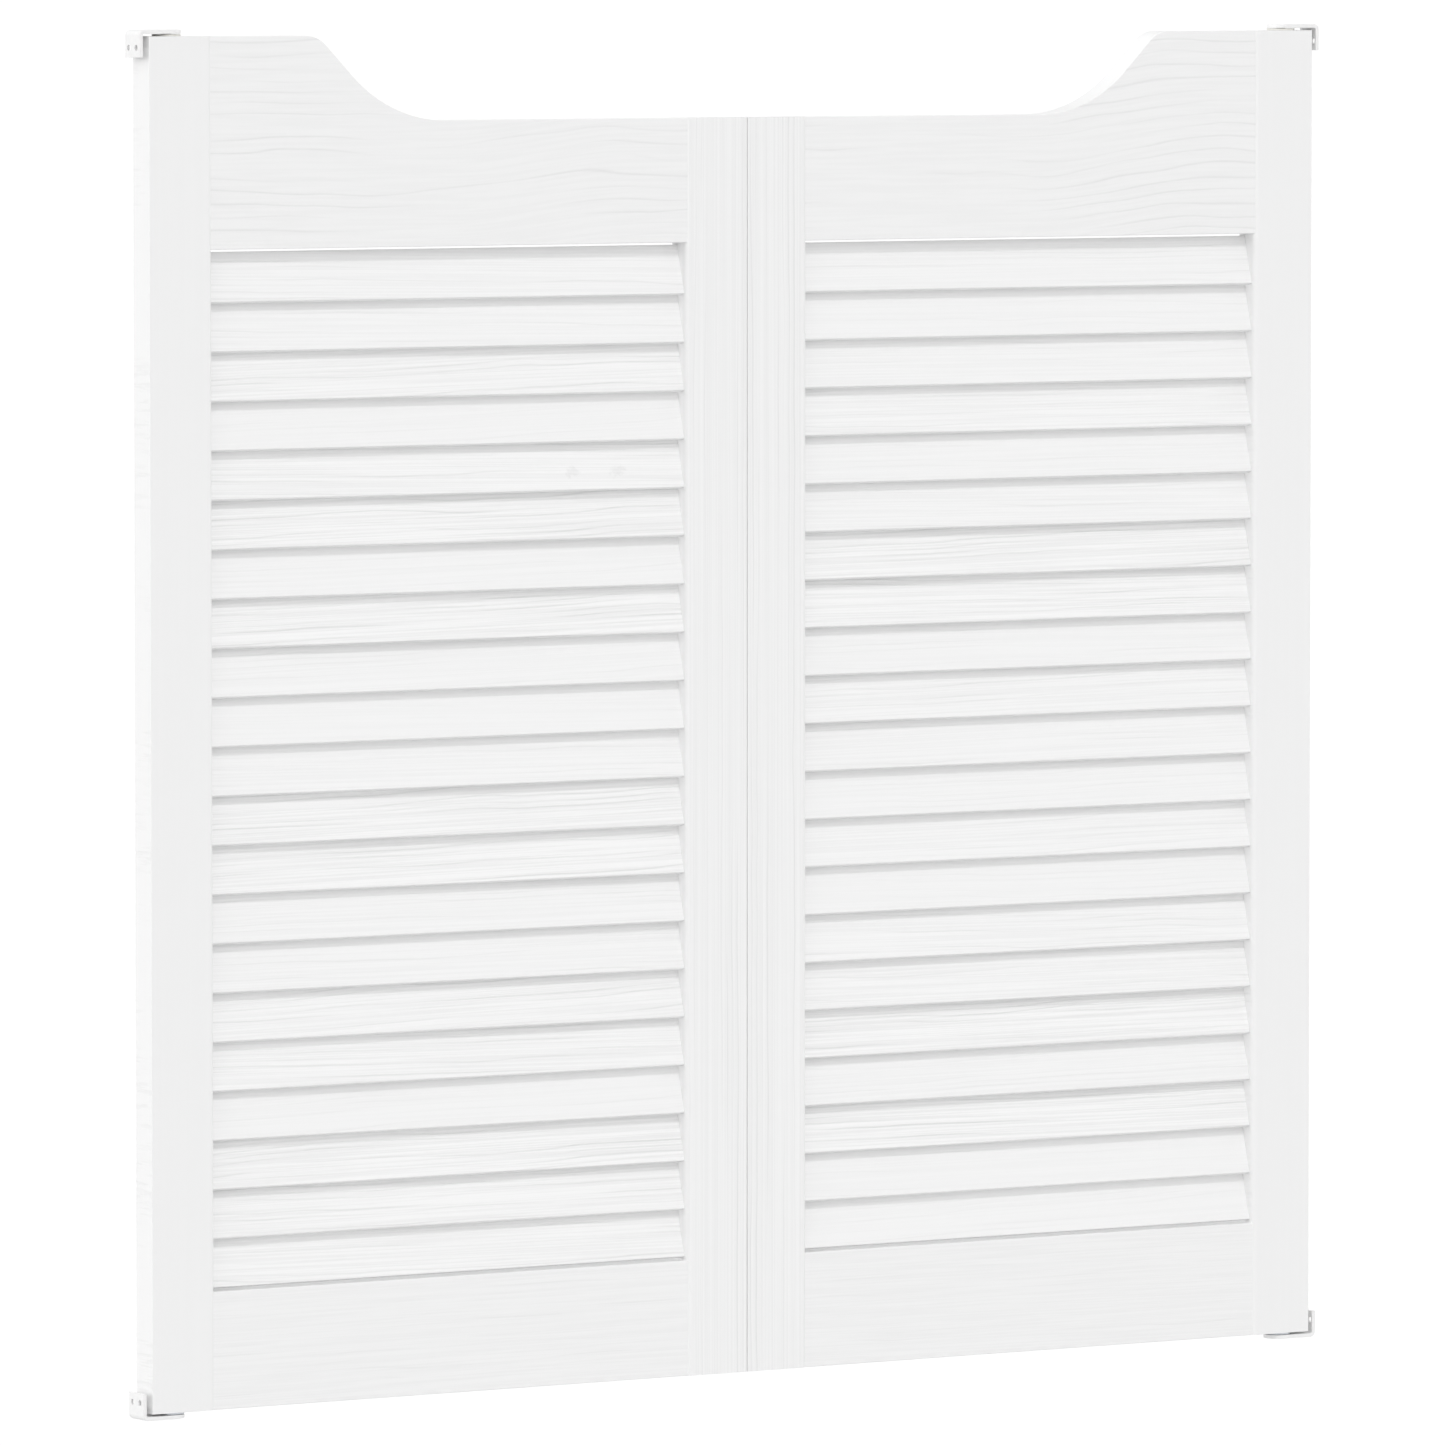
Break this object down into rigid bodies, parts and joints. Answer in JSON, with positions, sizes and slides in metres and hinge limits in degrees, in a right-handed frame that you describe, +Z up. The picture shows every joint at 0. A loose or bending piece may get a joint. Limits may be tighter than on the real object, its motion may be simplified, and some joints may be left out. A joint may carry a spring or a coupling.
{
  "type": "cafe swinging doors",
  "caption": "Pair of white louvred cafe doors with scooped top rails, each leaf swinging both ways on sprung pivots at its outer edge.",
  "frame": {"origin": "Middle of the doorway, in the middle of the leaves' thickness, level with the underside of the bottom brackets.", "axes": "+X across the doorway from the left leaf to the right leaf seen from the front, -Y towards the front, +Z up."},
  "size_m": [0.8846, 0.02, 0.858],
  "materials": {
    "painted_frame": "satin white paint, grain showing",
    "painted_slat": "satin white paint, fine grain",
    "white_steel": "white powder coat",
    "nylon": "natural nylon",
    "zinc_steel": "zinc plated",
    "spring_steel": "oiled"
  },
  "bodies": {
    "jamb_fittings": {"left_bottom_bracket": "white_steel", "left_top_bracket": "white_steel", "right_bottom_bracket": "white_steel", "right_top_bracket": "white_steel"},
    "left_leaf": {"left_outer_stile": "painted_frame", "left_meeting_stile": "painted_frame", "left_top_rail": "painted_frame", "left_bottom_rail": "painted_frame", "left_slat_01": "painted_slat", "left_slat_02": "painted_slat", "left_slat_03": "painted_slat", "left_slat_04": "painted_slat", "left_slat_05": "painted_slat", "left_slat_06": "painted_slat", "left_slat_07": "painted_slat", "left_slat_08": "painted_slat", "left_slat_09": "painted_slat", "left_slat_10": "painted_slat", "left_slat_11": "painted_slat", "left_slat_12": "painted_slat", "left_slat_13": "painted_slat", "left_slat_14": "painted_slat", "left_slat_15": "painted_slat", "left_slat_16": "painted_slat", "left_slat_17": "painted_slat", "left_slat_18": "painted_slat", "left_slat_19": "painted_slat", "left_slat_20": "painted_slat", "left_slat_21": "painted_slat", "left_top_bush": "nylon", "left_spring_barrel": "zinc_steel", "left_return_spring": "spring_steel"},
    "right_leaf": {"right_outer_stile": "painted_frame", "right_meeting_stile": "painted_frame", "right_top_rail": "painted_frame", "right_bottom_rail": "painted_frame", "right_slat_01": "painted_slat", "right_slat_02": "painted_slat", "right_slat_03": "painted_slat", "right_slat_04": "painted_slat", "right_slat_05": "painted_slat", "right_slat_06": "painted_slat", "right_slat_07": "painted_slat", "right_slat_08": "painted_slat", "right_slat_09": "painted_slat", "right_slat_10": "painted_slat", "right_slat_11": "painted_slat", "right_slat_12": "painted_slat", "right_slat_13": "painted_slat", "right_slat_14": "painted_slat", "right_slat_15": "painted_slat", "right_slat_16": "painted_slat", "right_slat_17": "painted_slat", "right_slat_18": "painted_slat", "right_slat_19": "painted_slat", "right_slat_20": "painted_slat", "right_slat_21": "painted_slat", "right_top_bush": "nylon", "right_spring_barrel": "zinc_steel", "right_return_spring": "spring_steel"}
  },
  "joints": [
    {"name": "left_leaf_swing", "type": "hinge", "parent": "jamb_fittings", "child": "left_leaf", "pos_m": [-0.4182, 0, 0.004], "axis": [0, 0, 1], "range_deg": [-90, 90], "stiffness_Nm_per_rad": 0.3},
    {"name": "right_leaf_swing", "type": "hinge", "parent": "jamb_fittings", "child": "right_leaf", "pos_m": [0.4182, 0, 0.004], "axis": [0, 0, -1], "range_deg": [-90, 90], "stiffness_Nm_per_rad": 0.3}
  ]
}
